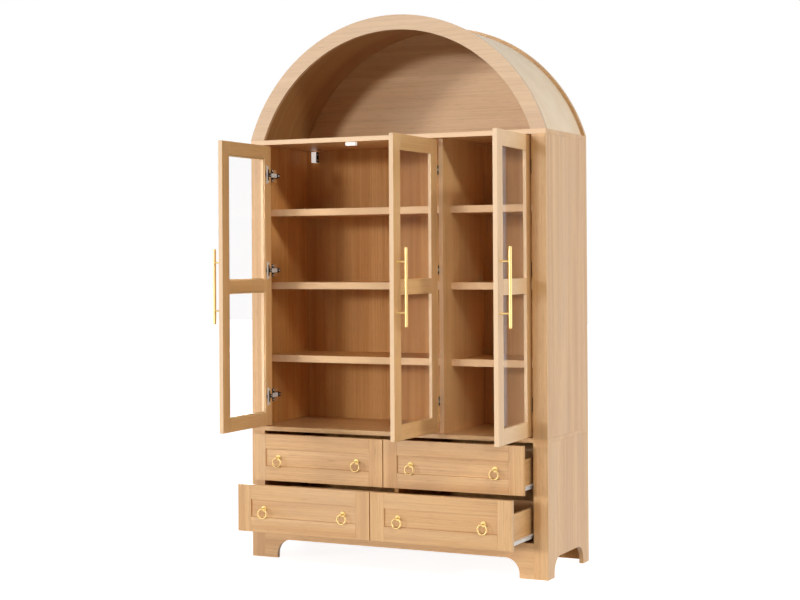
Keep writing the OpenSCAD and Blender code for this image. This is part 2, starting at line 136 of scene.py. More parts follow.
def stretched_noise(tree, vector, along, across, detail, distortion=0.0):
    """Noise whose features are about the given millimetres long and wide."""
    scaled = add(tree, "ShaderNodeVectorMath", {0: vector, 1: (1000 / along, 1000 / across, 1000 / across)},
                 operation="MULTIPLY")
    noise = add(tree, "ShaderNodeTexNoise",
                {"Vector": scaled.outputs[0], "Scale": 1.0, "Detail": detail, "Roughness": 0.55,
                 "Distortion": distortion})
    return noise.outputs["Fac"]


# turn that brings each grain direction to the pattern's X axis
GRAIN_TURN = {"x": (0, 0, 0), "y": (0, 0, math.radians(-90)), "z": (0, math.radians(90), 0)}

OAK_LIGHT = "#E3B57C"
OAK_MID = "#DBAB70"
OAK_DARK = "#CF9B60"
OAK_FIBRE = "#B9844A"
OAK_PORE = "#A26C3A"
OAK_CLOUD = "#C6A077"
EDGE_BAND = "#F3CFA6"
# painted light and shade that set some sheets apart: how a second colour is mixed in, its share and the
# colour
# inside of the cabinet, darker and warmer: painted shade
INNER_SHADE_TONE = ("MULTIPLY", 1.0, "#FBEDD6")
# front ring, paler and greyer: painted sheen; niche, a little darker and greyer, and bent veneer, darker and
# greyer: painted shade
RING_SHEEN_TONE = ("MIX", 0.35, "#CFBBA6")
NICHE_SHADE_TONE = ("MIX", 0.12, "#B9A07C")
BENT_SHADE_TONE = ("MULTIPLY", 1.0, "#D2CBBF")
# doors and divider, paler and yellower: painted light; the right door's free stile and rails paler still:
# painted sheen
DOOR_LIGHT_TONE = ("MIX", 0.3, "#F5CC8E")
PALE_SHEEN_TONE = ("MIX", 0.5, "#FFD9A8")


def oak_from(name, grained, tone=None, banded=False, shaded_way=None):
    """Oak laminate, an oak print under a satin film: streaked honey brown, with a soft and broken gloss.

    grained gives coordinates that lie along the grain. A tone is painted light or shade mixed into the
    colour, and a shaded way gives it only to the face that looks that way.
    """
    material, tree, output = new_material(name)
    vector = grained(tree)
    # broad figure of a flat-sawn board: soft bands 20 to 60 mm wide
    figure = stretched_noise(tree, vector, 1300, 45, 4.0, 0.6)
    base = ramp(tree, figure, [(0.34, colour(OAK_DARK)), (0.5, colour(OAK_MID)), (0.66, colour(OAK_LIGHT))])
    # growth lines, drawn 4 mm apart so that they show
    lines = stretched_noise(tree, vector, 500, 4, 4.0, 0.3)
    line_share = ramp(tree, lines, [(0.46, grey(0.0)), (0.72, grey(0.5))])
    base = blend_colour(tree, "MIX", line_share, base, colour(OAK_FIBRE))
    # pores, drawn 1.6 mm wide, as finer ones would not show
    pores = stretched_noise(tree, vector, 45, 1.6, 2.0)
    pore_share = ramp(tree, pores, [(0.56, grey(0.0)), (0.72, grey(0.45))])
    base = blend_colour(tree, "MIX", pore_share, base, colour(OAK_PORE))
    # greyish clouds a hand wide
    cloud = stretched_noise(tree, vector, 500, 110, 2.0)
    cloud_share = ramp(tree, cloud, [(0.52, grey(0.0)), (0.75, grey(0.4))])
    base = blend_colour(tree, "MIX", cloud_share, base, colour(OAK_CLOUD))
    if shaded_way or banded:
        side = add(tree, "ShaderNodeTexCoord")
        facing = add(tree, "ShaderNodeSeparateXYZ", {"Vector": side.outputs["Normal"]})
    # the tone's painted light or shade, on the face that looks the shaded way, or all over
    if shaded_way:
        inside = add(tree, "ShaderNodeMapRange",
                     {"Value": facing.outputs[shaded_way], "From Min": 0.7, "From Max": 0.95})
        base = blend_colour(tree, tone[0], inside.outputs["Result"], base, colour(tone[2]))
    elif tone:
        base = blend_colour(tree, tone[0], tone[1], base, colour(tone[2]))
    if banded:
        # the sawn edge that faces forwards wears a paler band
        band = add(tree, "ShaderNodeMapRange",
                   {"Value": facing.outputs["Y"], "From Min": -0.95, "From Max": -0.7,
                    "To Min": 0.65, "To Max": 0.0})
        base = blend_colour(tree, "MIX", band.outputs["Result"], base, colour(EDGE_BAND))
    rough = add(tree, "ShaderNodeMapRange", {"Value": lines, "To Min": 0.36, "To Max": 0.48})
    bump = add(tree, "ShaderNodeBump", {"Strength": 0.2, "Distance": 0.0002, "Height": pores})
    shader = add(tree, "ShaderNodeBsdfPrincipled",
                 {"Base Color": base, "Roughness": rough.outputs["Result"], "Normal": bump.outputs["Normal"]})
    shader.inputs["IOR"].default_value = 1.5
    if tone == INNER_SHADE_TONE:
        shader.inputs["Specular IOR Level"].default_value = 0.2
    else:
        shader.inputs["Coat Weight"].default_value = 0.5
        shader.inputs["Coat Roughness"].default_value = 0.4
    tree.links.new(shader.outputs[0], output.inputs["Surface"])
    return material


def oak(grain, board, tone=None, banded=False, shaded_way=None):
    """Oak laminate with its grain along one axis; each board number is another cut of the sheet."""

    def straight(tree):
        place = add(tree, "ShaderNodeTexCoord")
        turned = add(tree, "ShaderNodeMapping",
                     {"Vector": place.outputs["Object"], "Rotation": GRAIN_TURN[grain],
                      "Location": (3.1 * board, 1.7 * board, 0.9 * board)})
        return turned.outputs["Vector"]

    kind = "banded oak laminate" if banded else "oak laminate"
    return oak_from("%s, grain %s, board %d" % (kind, grain, board), straight, tone, banded, shaded_way)


def bent_oak():
    """Oak veneer bent round the arch: its streaks run along the curve, under painted shade."""

    def along_arc(tree):
        place = add(tree, "ShaderNodeTexCoord")
        axes = add(tree, "ShaderNodeSeparateXYZ", {"Vector": place.outputs["Object"]})
        up = add(tree, "ShaderNodeMath", {0: axes.outputs["Z"], 1: ARCH_Z * MM}, operation="SUBTRACT")
        angle = add(tree, "ShaderNodeMath", {0: axes.outputs["X"], 1: up.outputs[0]}, operation="ARCTAN2")
        length = add(tree, "ShaderNodeMath", {0: angle.outputs[0], 1: ARCH_R * MM}, operation="MULTIPLY")
        joined = add(tree, "ShaderNodeCombineXYZ",
                     {"X": length.outputs[0], "Y": axes.outputs["Y"], "Z": 0.0})
        return joined.outputs["Vector"]

    return oak_from("bent oak laminate", along_arc, BENT_SHADE_TONE)


def cream_paint():
    """Cream lacquer sprayed on a bent panel: smooth, with the faintest mottle."""
    material, tree, output = new_material("cream lacquer")
    place = add(tree, "ShaderNodeTexCoord")
    mottle = stretched_noise(tree, place.outputs["Object"], 240, 90, 2.0)
    base = ramp(tree, mottle, [(0.3, colour("#F0D6B3")), (0.7, colour("#F8E2C3"))])
    peel = stretched_noise(tree, place.outputs["Object"], 3, 3, 1.0)
    bump = add(tree, "ShaderNodeBump", {"Strength": 0.05, "Distance": 0.0002, "Height": peel})
    shader = add(tree, "ShaderNodeBsdfPrincipled", {"Base Color": base, "Normal": bump.outputs["Normal"]})
    shader.inputs["Roughness"].default_value = 0.45
    shader.inputs["Specular IOR Level"].default_value = 0.35
    tree.links.new(shader.outputs[0], output.inputs["Surface"])
    return material


def metal(name, light, dark, roughness, brush=(90, 0.6)):
    """A brushed or plated metal, with fine marks that vary its colour and gloss."""
    material, tree, output = new_material(name)
    place = add(tree, "ShaderNodeTexCoord")
    marks = stretched_noise(tree, place.outputs["Object"], brush[0], brush[1], 3.0)
    base = ramp(tree, marks, [(0.3, colour(dark)), (0.7, colour(light))])
    rough = add(tree, "ShaderNodeMapRange",
                {"Value": marks, "To Min": roughness - 0.05, "To Max": roughness + 0.07})
    shader = add(tree, "ShaderNodeBsdfPrincipled", {"Base Color": base, "Roughness": rough.outputs["Result"]})
    shader.inputs["Metallic"].default_value = 1.0
    tree.links.new(shader.outputs[0], output.inputs["Surface"])
    return material


def coating(name, light, dark, roughness, glow=0.0):
    """A paint, enamel or moulded plastic with a slight mottle.

    A glow, where given, is painted light: it lightens a pale plastic where it lies in shade.
    """
    material, tree, output = new_material(name)
    place = add(tree, "ShaderNodeTexCoord")
    mottle = stretched_noise(tree, place.outputs["Object"], 12, 12, 2.0)
    base = ramp(tree, mottle, [(0.3, colour(dark)), (0.7, colour(light))])
    shader = add(tree, "ShaderNodeBsdfPrincipled", {"Base Color": base})
    shader.inputs["Roughness"].default_value = roughness
    if glow:
        tree.links.new(base, shader.inputs["Emission Color"])
        shader.inputs["Emission Strength"].default_value = glow
    tree.links.new(shader.outputs[0], output.inputs["Surface"])
    return material


def clear_glass(name, shade):
    """Float glass, clear, with a trace of wipe marks.

    The shade is the share of lamplight that each face lets by.
    """
    material, tree, output = new_material(name)
    place = add(tree, "ShaderNodeTexCoord")
    wipes = stretched_noise(tree, place.outputs["Object"], 160, 40, 2.0)
    rough = add(tree, "ShaderNodeMapRange", {"Value": wipes, "To Min": 0.0, "To Max": 0.02})
    shader = add(tree, "ShaderNodeBsdfPrincipled", {"Roughness": rough.outputs["Result"]})
    shader.inputs["Base Color"].default_value = colour("#FFFFFF")
    shader.inputs["Transmission Weight"].default_value = 0.99
    shader.inputs["IOR"].default_value = 1.15
    open_way = add(tree, "ShaderNodeBsdfTransparent", {"Color": colour(shade)})
    path = add(tree, "ShaderNodeLightPath")
    both = add(tree, "ShaderNodeMixShader",
               {0: path.outputs["Is Shadow Ray"], 1: shader.outputs[0], 2: open_way.outputs[0]})
    tree.links.new(both.outputs[0], output.inputs["Surface"])
    return material


OAK = {cut: oak(*cut) for cut in (("x", 0), ("x", 1), ("x", 2), ("x", 3), ("y", 2),
                                  ("z", 0), ("z", 1), ("z", 2), ("z", 3), ("z", 4))}
# the inside boards, and the inner face of the left side, carry painted shade
INNER = {grain: oak(grain, 7, INNER_SHADE_TONE) for grain in "xz"}
# the divider carries the doors' painted light
DIVIDER = oak("z", 5, DOOR_LIGHT_TONE, True)
LEFT_SIDE = oak("z", 12, INNER_SHADE_TONE, False, "X")
# painted light on the doors; the right door's free stile and rails carry painted sheen, and its untoned hinge
# stile stays darker as painted shade
FREE_STILE = {"left_door": oak("z", 6, DOOR_LIGHT_TONE, True), "middle_door": oak("z", 10, DOOR_LIGHT_TONE, True),
              "right_door": oak("z", 6, PALE_SHEEN_TONE, True)}
DOOR_RAIL = {"left_door": oak("y", 6, DOOR_LIGHT_TONE), "middle_door": oak("y", 7, DOOR_LIGHT_TONE),
             "right_door": oak("y", 8, PALE_SHEEN_TONE)}
HINGE_STILE = {"left_door": oak("z", 9, DOOR_LIGHT_TONE, True), "middle_door": oak("z", 11, DOOR_LIGHT_TONE, True),
               "right_door": oak("z", 8, None, True)}
TOP_BOARD = oak("x", 6, None, True)
# the shelves carry the inside's painted shade
SHELF = oak("x", 8, INNER_SHADE_TONE, True)
# the front ring carries painted sheen, the niche and the bent veneer painted shade
RING_OAK = oak("x", 4, RING_SHEEN_TONE)
NICHE_OAK = oak("x", 2, NICHE_SHADE_TONE)
BENT_OAK = bent_oak()
CREAM = cream_paint()
# brass bar, brushed along its length: warm, with a streaked gloss
BRASS = metal("brushed brass", "#F8DD9C", "#E8C77E", 0.36)
# magnets' plated faces: a cool mirror, a little blurred
STEEL = metal("nickel plated steel", "#D8D6D2", "#B4B2AE", 0.35, (20, 1.0))
# enamelled pressings: nearly black, and dull
BLACK_STEEL = coating("black enamelled steel", "#120F0C", "#0A0807", 0.6)
# castings under satin nickel: drawn as a pale non-metal, whose paleness is a painted reflection of the
# plating, with a soft sheen
PLATED = coating("satin nickel plate", "#F0EEEA", "#DEDCD6", 0.35)
# drawer runners: clean white, half glossy
WHITE_ENAMEL = coating("white enamelled steel", "#F2F1ED", "#E9E8E3", 0.35)
# catch and bracket: milky white, with a painted glow that lightens their shade
WHITE_PLASTIC = coating("white moulded plastic", "#F6F5F1", "#EEEDE8", 0.5, 0.6)
# cam caps: brown, and dull
DARK_PLASTIC = coating("brown moulded plastic", "#4A3220", "#3B2819", 0.5)
GLASS = {"left": clear_glass("clear float glass, left door", "#C6C8C6"),
         "middle": clear_glass("clear float glass, middle door", "#7A7C7A"),
         "right": clear_glass("clear float glass, right door", "#7A7C7A")}


# making pieces
def clear_selection():
    """Leaves edit mode and deselects everything."""
    if bpy.context.object and bpy.context.object.mode != "OBJECT":
        bpy.ops.object.mode_set(mode="OBJECT")
    bpy.ops.object.select_all(action="DESELECT")


def pick(piece):
    """Selects one piece alone and makes it the active one."""
    clear_selection()
    piece.hide_set(False)
    piece.select_set(True)
    bpy.context.view_layer.objects.active = piece


def settle(piece, name):
    """Puts a new piece's place into its mesh, under its own name."""
    pick(piece)
    piece.name = name
    piece.data.name = name
    bpy.ops.object.transform_apply(location=True, rotation=True, scale=True)
    return piece


# degrees past which an edge is rounded, on fittings and on boards, and past which it stays sharp
FITTING_EDGE = 30
BOARD_EDGE = 40
SMOOTH_EDGE = 20
# metres within which corners of the CAD mesh are one
CORNER_GAP = 0.00002


def bevel(piece, width, angle=FITTING_EDGE):
    """Rounds the piece's sharp edges by a width in millimetres."""
    pick(piece)
    if not width:
        return piece
    modifier = piece.modifiers.new("Bevel", "BEVEL")
    modifier.width = width * MM
    modifier.segments = 2
    modifier.limit_method = "ANGLE"
    modifier.angle_limit = math.radians(angle)
    bpy.ops.object.modifier_apply(modifier=modifier.name)
    bpy.ops.object.shade_smooth_by_angle(angle=math.radians(SMOOTH_EDGE))
    return piece


def block(name, low, high, width=0.5):
    """A bevelled board or block between two corners in millimetres."""
    low, high = at(*low), at(*high)
    clear_selection()
    bpy.ops.mesh.primitive_cube_add(size=1, location=(low + high) / 2)
    piece = bpy.context.object
    piece.scale = high - low
    return bevel(settle(piece, name), width)


def wedge(name, start, end, wide, narrow, way=1):
    """A block between two places whose height tapers along one axis, from one half height to another."""
    low = [min(pair) for pair in zip(start, end)]
    high = [max(pair) for pair in zip(start, end)]
    piece = block(name, (low[0], low[1], low[2] - wide), (high[0], high[1], high[2] + wide), 0)
    first, last = at(*start)[way], at(*end)[way]
    bpy.ops.object.mode_set(mode="EDIT")
    bpy.ops.mesh.select_all(action="DESELECT")
    bpy.ops.object.mode_set(mode="OBJECT")
    for vertex in piece.data.vertices:
        vertex.select = abs(vertex.co[way] - last) < abs(vertex.co[way] - first)
    bpy.ops.object.mode_set(mode="EDIT")
    bpy.ops.transform.resize(value=(1, 1, narrow / wide), center_override=at(*end))
    bpy.ops.object.mode_set(mode="OBJECT")
    return bevel(piece, 0.6)


def rod(name, start, end, radius, width=0.3, vertices=48):
    """A round bar between two places in millimetres, with softened ends."""
    start, end = at(*start), at(*end)
    clear_selection()
    turn = (end - start).to_track_quat("Z", "Y").to_euler()
    bpy.ops.mesh.primitive_cylinder_add(vertices=vertices, radius=radius * MM, depth=(end - start).length,
                                        location=(start + end) / 2, rotation=turn)
    return bevel(settle(bpy.context.object, name), width)


def join(name, pieces):
    """Makes one piece of several."""
    clear_selection()
    for piece in pieces:
        piece.select_set(True)
    bpy.context.view_layer.objects.active = pieces[0]
    bpy.ops.object.join()
    pieces[0].name = name
    pieces[0].data.name = name
    return pieces[0]


def copy_of(piece, name, matrix):
    """A copy with its own mesh, moved by a matrix."""
    copy = piece.copy()
    copy.data = piece.data.copy()
    bpy.context.scene.collection.objects.link(copy)
    copy.matrix_world = matrix
    settle(copy, name)
    if matrix.determinant() < 0:
        bpy.ops.object.mode_set(mode="EDIT")
        bpy.ops.mesh.select_all(action="SELECT")
        bpy.ops.mesh.normals_make_consistent(inside=False)
        bpy.ops.object.mode_set(mode="OBJECT")
    return copy


def paint(piece, material):
    """Gives a piece one material."""
    piece.data.materials.clear()
    piece.data.materials.append(material)
    return piece


def fit(piece, body, material=None, instead_of=()):
    """Hands a finished piece to the CAD body that carries it."""
    if material:
        paint(piece, material)
    if instead_of:
        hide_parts(*instead_of)
    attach(piece, body)


def solids_of(node):
    """The separate solids of a CAD node, as new pieces with merged corners."""
    source = frame["nodes"][node]
    copy = source.copy()
    copy.data = source.data.copy()
    for key in list(copy.keys()):
        del copy[key]
    copy.parent = None
    copy.matrix_world = Matrix.Identity(4)
    bpy.context.scene.collection.objects.link(copy)
    pick(copy)
    bpy.ops.object.mode_set(mode="EDIT")
    bpy.ops.mesh.select_all(action="SELECT")
    bpy.ops.mesh.remove_doubles(threshold=CORNER_GAP)
    bpy.ops.mesh.dissolve_limited(angle_limit=math.radians(1))
    bpy.ops.mesh.separate(type="LOOSE")
    bpy.ops.object.mode_set(mode="OBJECT")
    return list(bpy.context.selected_objects)


def extent(piece):
    """Lowest and highest corner of a piece's mesh."""
    points = [v.co for v in piece.data.vertices]
    low = Vector([min(p[i] for p in points) for i in range(3)])
    high = Vector([max(p[i] for p in points) for i in range(3)])
    return low, high


# boards
def dress_board(node, material, width=0.6):
    """Gives a CAD board its finish, and softens its edges with modifiers."""
    board = frame["nodes"][node]
    paint(board, material)
    if width:
        weld = board.modifiers.new("Weld", "WELD")
        weld.merge_threshold = CORNER_GAP
        edge = board.modifiers.new("Bevel", "BEVEL")
        edge.width = width * MM
        edge.segments = 2
        edge.limit_method = "ANGLE"
        edge.angle_limit = math.radians(BOARD_EDGE)


def dress_boards():
    """Finishes of the boards, runners and panes that stay as the frame has them."""
    for node, material in (
        ("lower_side_left", OAK["z", 0]), ("lower_side_right", OAK["z", 0]),
        ("upper_side_left", LEFT_SIDE), ("upper_side_right", OAK["z", 1]),
        ("lower_stiles", OAK["z", 2]), ("upper_stiles", OAK["z", 3]),
        ("divider", DIVIDER), ("upper_back_panel", INNER["z"]), ("lower_back_panel", INNER["z"]),
        ("drawer_partition", INNER["z"]), ("side_packers", OAK["z", 4]),
        ("apron", OAK["x", 0]), ("middle_board", OAK["x", 1]), ("top_board", TOP_BOARD),
        ("shelves", SHELF), ("bottom_panel", INNER["x"]),
    ):
        dress_board(node, material)
    for node in ("cabinet_runners", *(name for name in frame["nodes"] if name.endswith("_runners"))):
        dress_board(node, WHITE_ENAMEL, 0)
    for door in ("left", "middle", "right"):
        dress_board(door + "_door_glass", GLASS[door], 0.3)


# arch
def arch_piece(name, outer, inner, front, back, material, node):
    """A bent board, or a flat one with an arched edge, cut off level at the arch's floor."""
    clear_selection()
    bpy.ops.mesh.primitive_circle_add(vertices=512, radius=outer * MM,
                                      fill_type="NOTHING" if inner else "NGON",
                                      location=at(0, front, ARCH_Z), rotation=(math.radians(90), 0, 0))
    piece = settle(bpy.context.object, name)
    bpy.ops.object.mode_set(mode="EDIT")
    bpy.ops.mesh.select_all(action="SELECT")
    if inner:
        bpy.ops.mesh.extrude_edges_move()
        ratio = inner / outer
        bpy.ops.transform.resize(value=(ratio, 1, ratio), center_override=at(0, front, ARCH_Z))
        bpy.ops.mesh.select_all(action="SELECT")
    bpy.ops.mesh.extrude_region_move(TRANSFORM_OT_translate={"value": (0, (back - front) * MM, 0)})
    bpy.ops.mesh.select_all(action="SELECT")
    bpy.ops.mesh.bisect(plane_co=at(0, 0, ARCH_FLOOR), plane_no=(0, 0, 1), use_fill=True, clear_inner=True)
    bpy.ops.mesh.select_all(action="SELECT")
    bpy.ops.mesh.remove_doubles(threshold=0.000001)
    bpy.ops.mesh.normals_make_consistent(inside=False)
    bpy.ops.object.mode_set(mode="OBJECT")
    bevel(piece, 0.6, BOARD_EDGE)
    fit(piece, CARCASS, material, (node,))


def make_arch():
    """Front ring, back panel, and between them a skin that is lacquered outside and veneered inside."""
    outer = ARCH_R - SHELL_RECESS
    inner = outer - SHELL_T
    seam = inner + VENEER_T
    arch_piece("arch_ring", ARCH_R, ARCH_R - RING_W, 0, RING_T, RING_OAK, "arch_front_ring")
    arch_piece("arch_panel", ARCH_R, 0, BACK_FRONT, BACK_END, NICHE_OAK, "arch_back_panel")
    arch_piece("arch_outer_skin", outer, seam, RING_T, BACK_FRONT, CREAM, "arch_shell")
    arch_piece("arch_inner_veneer", seam, inner, RING_T, BACK_FRONT, BENT_OAK, "arch_shell")


# doors
def joint_of(body):
    """The joint that moves a body."""
    return next(j for j in frame["joints"] if j["child"] == body)


def door_place(body, opened=True):
    """Matrix that puts a piece, drawn round the pin of a shut left-hung door, at the pin of another.

    A piece on the door is opened as the door is at rest, and one on the cabinet is not.
    """
    joint = joint_of(body)
    pin = Vector(joint["pos_m"])
    turn = Matrix.Rotation(math.radians(joint["range_deg"][0] if opened else 0), 4, "Z")
    mirror = Matrix.Scale(-1, 4, (1, 0, 0)) if joint["axis"][2] > 0 else Matrix.Identity(4)
    return Matrix.Translation((pin.x, pin.y, 0)) @ mirror @ turn @ Matrix.Translation((0, -FRONT_Y * MM, 0))


# the doors' sizes, and where the pin is in them
PIN_EDGE = 10.0
PIN_DEPTH = 5.0
DOOR_T = 15.0
DOOR_MEMBER = 50.0
FRAME_STILE = 50
DOOR_GAPS = 8
DOOR_WIDTH = round((2 * (HALF_W - FRAME_STILE) - DOOR_GAPS) / 3, 3)
HINGE_Z = (558.0, 994.5, 1327.0)
# where a hinge's side board is from the pin, its screws on the cup, and half heights of its leaves
SIDE_MOUNT = -12.0
DIVIDER_MOUNT = -3.5
CUP_SCREW_X = 12.5
CUP_SCREW_RISE = 24
LEAF_HALF = 5.4
TALL_LEAF_HALF = 9.3
# the bar handles
BAR_REACH = 31.0
BAR_R = 5.0
POST_R = 3.0
POST_SPACING = 160.0
# metres by which boards of one node are told apart
STILE_HEIGHT = 0.5
HINGE_EDGE = 0.02
MIDDLE_BAND = 0.1
WIDE_BOARD = 0.1


def dress_door_frame(body):
    """Stiles and rails, with the grain along each of them."""
    node = body + "_frame"
    parts = solids_of(node)
    middle = sum((extent(p)[0].z + extent(p)[1].z) / 2 for p in parts) / len(parts)
    pin_y = joint_of(body)["pos_m"][1]
    for part in parts:
        low, high = extent(part)
        if high.z - low.z > STILE_HEIGHT:
            kind = "hinge_stile" if high.y > pin_y - HINGE_EDGE else "free_stile"
            material = (HINGE_STILE if kind == "hinge_stile" else FREE_STILE)[body]
        else:
            level = (low.z + high.z) / 2 - middle
            kind = "middle_rail" if abs(level) < MIDDLE_BAND else ("top_rail" if level > 0 else "bottom_rail")
            material = DOOR_RAIL[body]
        settle(part, body + "_" + kind)
        bevel(part, 0.7, BOARD_EDGE)
        fit(part, body, material, (node,))


def bar_handle():
    """Brass bar on two posts with small collars, drawn on a shut left-hung door."""
    low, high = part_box("left_door_handle")
    length = (high.z - low.z) / MM
    middle = (high.z + low.z) / 2 / MM
    x = DOOR_WIDTH - PIN_EDGE - DOOR_MEMBER / 2
    face = -PIN_DEPTH
    bar_y = face - BAR_REACH
    parts = [rod("bar", (x, bar_y, middle - length / 2), (x, bar_y, middle + length / 2), BAR_R, 0.9)]
    for z in (middle - POST_SPACING / 2, middle + POST_SPACING / 2):
        parts.append(rod("post", (x, bar_y, z), (x, face, z), POST_R, 0.2, 32))
        parts.append(rod("collar", (x, face - 2.2, z), (x, face - 0.05, z), BAR_R, 0.5, 40))
    return join("bar_handle", parts)


def cup_fitting():
    """Sunk cup with its tall eared flange and two screws, drawn on a shut left-hung door."""
    inner = DOOR_T - PIN_DEPTH
    x = CUP_SCREW_X
    flange = block("flange", (x + 2, inner, -31), (x + 11, inner + 1.4, 31), 0.5)
    ears = wedge("ears", (x + 1.95, inner, 0), (x - 7.5, inner + 1.2, 0), 30, 12, 0)
    cup = rod("cup", (x + 1, inner - 3, 0), (x + 1, inner + 1.3, 0), 8.5, 0.6, 56)
    parts = [paint(flange, PLATED), paint(ears, BLACK_STEEL), paint(cup, BLACK_STEEL)]
    for level in (-CUP_SCREW_RISE, CUP_SCREW_RISE):
        screw = rod("screw", (x, inner + 0.8, level), (x, inner + 2.4, level), 3.6, 0.5, 24)
        parts.append(paint(screw, PLATED))
    return join("cup_fitting", parts)


def arm_fitting(mount, knuckle=LEAF_HALF):
    """Arm and winged mounting plate of a hinge, drawn round the pin of a left-hung door.

    mount is where the side that carries the plate is, and knuckle is half the knuckle's height.
    """
    low, high = mount + 2, mount + 13.5
    # the strap is slim, because the open door's stile comes close to it
    black = [block("eye", (-2.4, -2.2, -LEAF_HALF), (2.4, 2.4, LEAF_HALF), 0.8),
             block("strap", (-1.2, 2, -LEAF_HALF), (1.2, 24, LEAF_HALF), 0.3),
             block("knuckle", (-2.4, 12.4, -knuckle), (2.4, 24, knuckle), 0.8),
             wedge("links", (low + 3, 12.6, 0), (high - 2, 44, 0), 24, 7.5)]
    plated = [block("arm", (low, 30, -7.4), (high, 66, 7.4), 1.6)]
    for side in (-1, 1):
        plated.append(rod("pin", (2.2 * side, 17, 0), (3.2 * side, 17, 0), 2.6, 0.3, 20))
    black += [block("plate", (mount + 0.1, 33, -9), (mount + 4, 89, 9), 0.8),
              block("tail", (mount + 0.6, 66.5, -6.5), (high - 1.5, 88, 6.5), 1.2),
              block("wings", (mount + 0.1, 46, -22), (mount + 2.6, 59, 22), 0.9)]
    # each screw's place back from the pin, rise, radius and seat
    for y, rise, radius, seat in ((53, 17, 3.2, mount + 2.4), (53, -17, 3.2, mount + 2.4),
                                  (38, 0, 3.0, high - 0.2), (57, 0, 2.6, high - 0.2),
                                  (80, 0, 3.0, high - 1.7)):
        plated.append(rod("screw", (seat, y, rise), (seat + 1.2, y, rise), radius, 0.4, 20))
    return join("arm_fitting", [paint(piece, BLACK_STEEL) for piece in black]
                + [paint(piece, PLATED) for piece in plated])


def make_doors():
    """Frames, handles and hinges of the three doors."""
    handle = bar_handle()
    cup = cup_fitting()
    side_arm = arm_fitting(SIDE_MOUNT)
    divider_arm = arm_fitting(DIVIDER_MOUNT, TALL_LEAF_HALF)
    for body in ("left_door", "middle_door", "right_door"):
        place, still = door_place(body), door_place(body, opened=False)
        dress_door_frame(body)
        fit(copy_of(handle, body + "_bar_handle", place), body, BRASS, (body + "_handle",))
        arm = divider_arm if body == "middle_door" else side_arm
        for number, z in enumerate(HINGE_Z, 1):
            up = Matrix.Translation((0, 0, z * MM))
            fit(copy_of(cup, "%s_hinge_cup_%d" % (body, number), up @ place), body, None,
                (body + "_hinge_cups",))
            fit(copy_of(arm, "%s_hinge_arm_%d" % (body, number), up @ still), CARCASS, None,
                ("hinge_arms",))
    for pattern in (handle, cup, side_arm, divider_arm):
        bpy.data.objects.remove(pattern)


# drawers
DRAWERS = ("upper_left", "upper_right", "lower_left", "lower_right")


def dress_drawer(name):
    """Front members and box boards of one drawer, with the grain along each of them."""
    shift = DRAWERS.index(name) % 2
    for kind, width, along, across in (("front", 0.6, OAK["x", 1 + shift], OAK["z", 2 + shift]),
                                       ("box", 0.5, OAK["x", 3], OAK["y", 2])):
        node = "%s_%s" % (name, kind)
        for number, part in enumerate(sorted(solids_of(node), key=lambda p: tuple(extent(p)[0])), 1):
            low, high = extent(part)
            settle(part, "%s_board_%d" % (node, number))
            bevel(part, width, BOARD_EDGE)
            fit(part, name + "_drawer", along if high.x - low.x > WIDE_BOARD else across, (node,))


def pull_fitting():
    """Rose, neck and eye of a ring pull, drawn at the eye's middle."""
    rose = rod("rose", (0, 11.4, 0), (0, 13.95, 0), 9.5, 0.9, 56)
    step = rod("step", (0, 9.8, 0), (0, 11.6, 0), 5.6, 0.7, 40)
    neck = rod("neck", (0, 3.5, 0), (0, 10.5, 0), 3.0, 0.3, 32)
    clear_selection()
    bpy.ops.mesh.primitive_torus_add(major_segments=36, minor_segments=12, major_radius=3.4 * MM,
                                     minor_radius=1.1 * MM, location=at(0, 0, 0),
                                     rotation=(0, math.radians(90), 0))
    eye = settle(bpy.context.object, "eye")
    bpy.ops.object.shade_smooth()
    return join("pull_fitting", [rose, step, neck, eye])


# the ring of a pull, and the wire it is bent from
RING_PULL_R = 15.5
RING_PULL_WIRE = 2.0


def pull_ring():
    """Ring that hangs from the eye."""
    clear_selection()
    bpy.ops.mesh.primitive_torus_add(major_segments=72, minor_segments=16, major_radius=RING_PULL_R * MM,
                                     minor_radius=RING_PULL_WIRE * MM, location=at(0, 0, -RING_PULL_R),
                                     rotation=(math.radians(90), 0, 0))
    ring = settle(bpy.context.object, "pull_ring")
    bpy.ops.object.shade_smooth()
    return ring


def make_drawers():
    """Boards, pulls and rings of the four drawers."""
    post, ring = pull_fitting(), pull_ring()
    for name in DRAWERS:
        dress_drawer(name)
        for letter in "ab":
            ring_body = "%s_ring_%s" % (name, letter)
            eye = Vector(joint_of(ring_body)["pos_m"])
            place = Matrix.Translation(eye) @ Matrix.Translation((0, -FRONT_Y * MM, 0))
            fit(copy_of(post, "%s_pull_%s" % (name, letter), place), name + "_drawer", BRASS,
                (name + "_posts",))
            fit(copy_of(ring, "%s_pull_ring_%s" % (name, letter), place), ring_body, BRASS,
                (ring_body,))
    for pattern in (post, ring):
        bpy.data.objects.remove(pattern)


# small fittings
def corners(node):
    """A CAD node's corners in cabinet millimetres."""
    low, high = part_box(node)
    return [(p.x / MM, p.y / MM - FRONT_Y, p.z / MM) for p in (low, high)]


def make_catch():
    """Magnetic catch: a plastic body with two magnets in its front."""
    low, high = corners("magnetic_catch")
    parts = [paint(block("body", low, high, 0.8), WHITE_PLASTIC)]
    for x in (low[0] + 9, high[0] - 9):
        magnet = block("magnet", (x - 5, low[1] - 0.5, low[2] + 2), (x + 5, low[1] + 2, high[2] - 3), 0.3)
        parts.append(paint(magnet, STEEL))
    fit(join("magnetic_catch_body", parts), CARCASS, None, ("magnetic_catch",))


